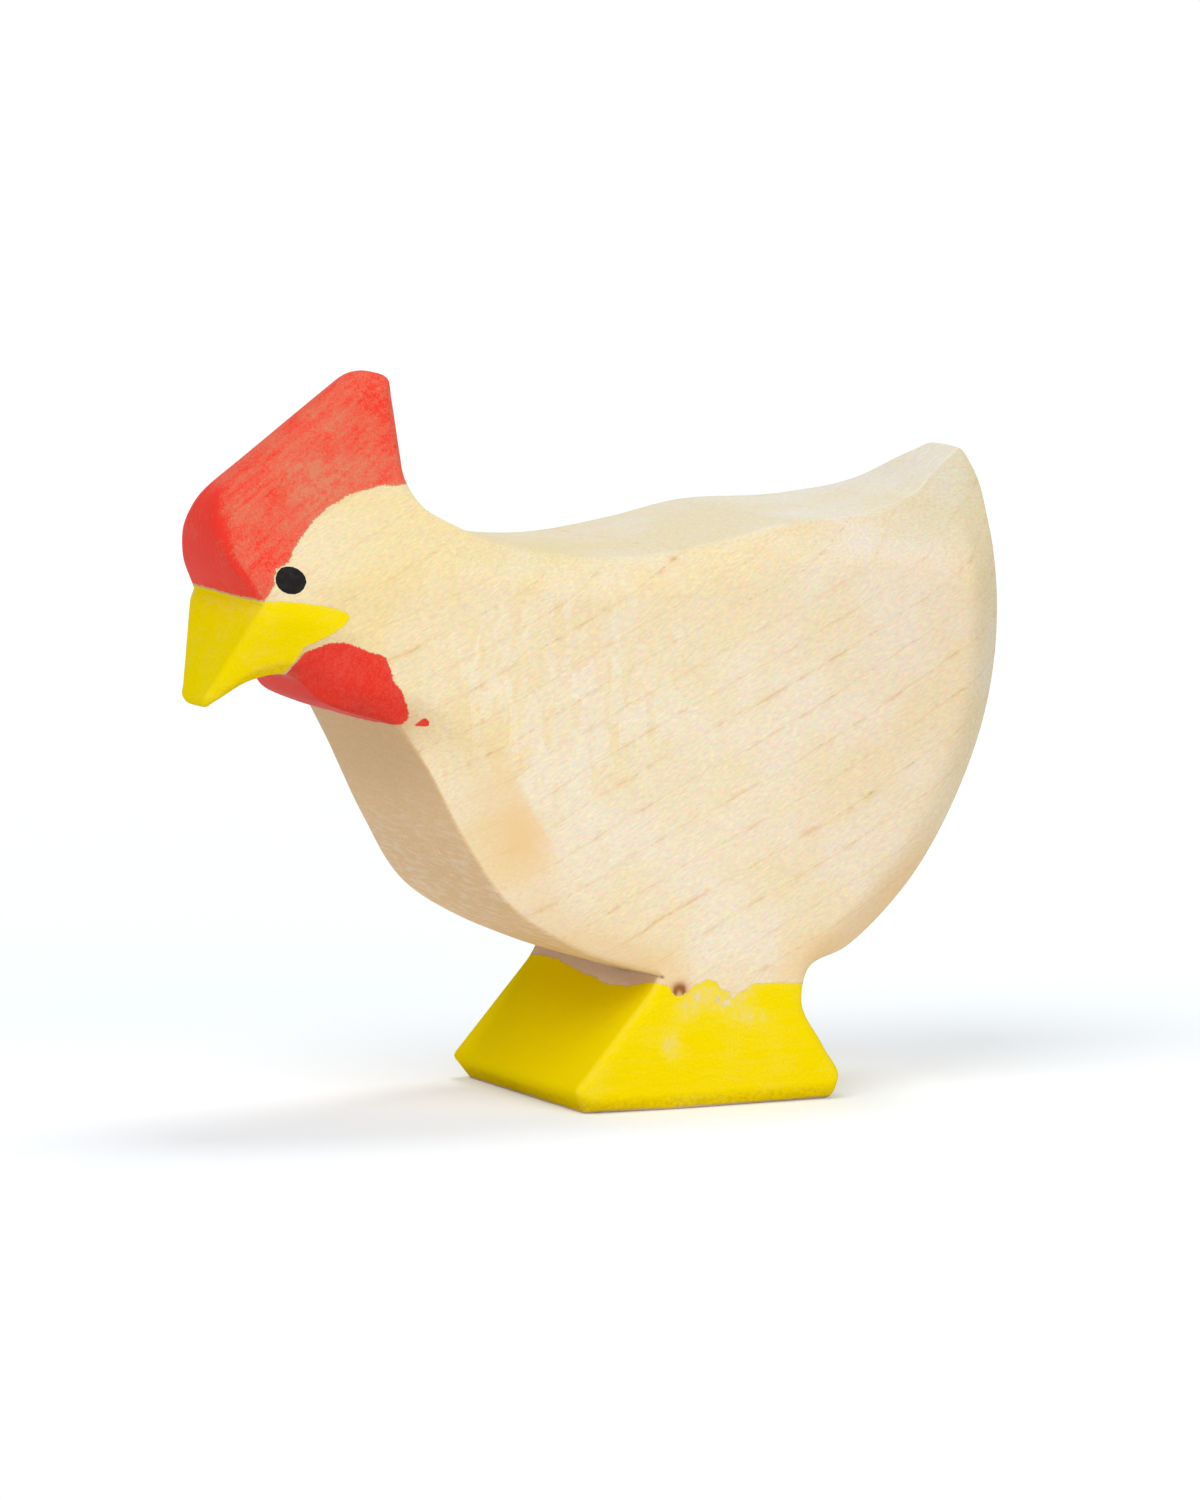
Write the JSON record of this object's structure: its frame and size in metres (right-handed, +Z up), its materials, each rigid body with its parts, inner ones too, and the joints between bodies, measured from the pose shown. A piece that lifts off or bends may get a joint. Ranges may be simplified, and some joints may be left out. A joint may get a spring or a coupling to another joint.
{
  "type": "wooden chicken figure",
  "caption": "Small hand-carved hen of pale wood on a flared foot, with a painted comb, beak, wattle and foot, and a dot for an eye on each side.",
  "frame": {"origin": "on the floor, below the middle of the figure's box", "axes": "+X from the beak towards the tail, +Y to the hen's right side, across the board's thickness, +Z up"},
  "size_m": [0.0683, 0.0248, 0.0598],
  "materials": {
    "maple": "bare wood, sanded and waxed",
    "comb_paint": "thin brushed paint",
    "wattle_paint": "thin brushed paint",
    "yellow_paint": "thin brushed paint",
    "black_paint": "one dab of paint"
  },
  "bodies": {
    "root": {"carved_body": "maple", "comb_coat": "comb_paint", "beak_coat": "yellow_paint", "wattle_coat": "wattle_paint", "foot_coat": "yellow_paint", "left_eye": "black_paint", "right_eye": "black_paint"}
  },
  "joints": []
}
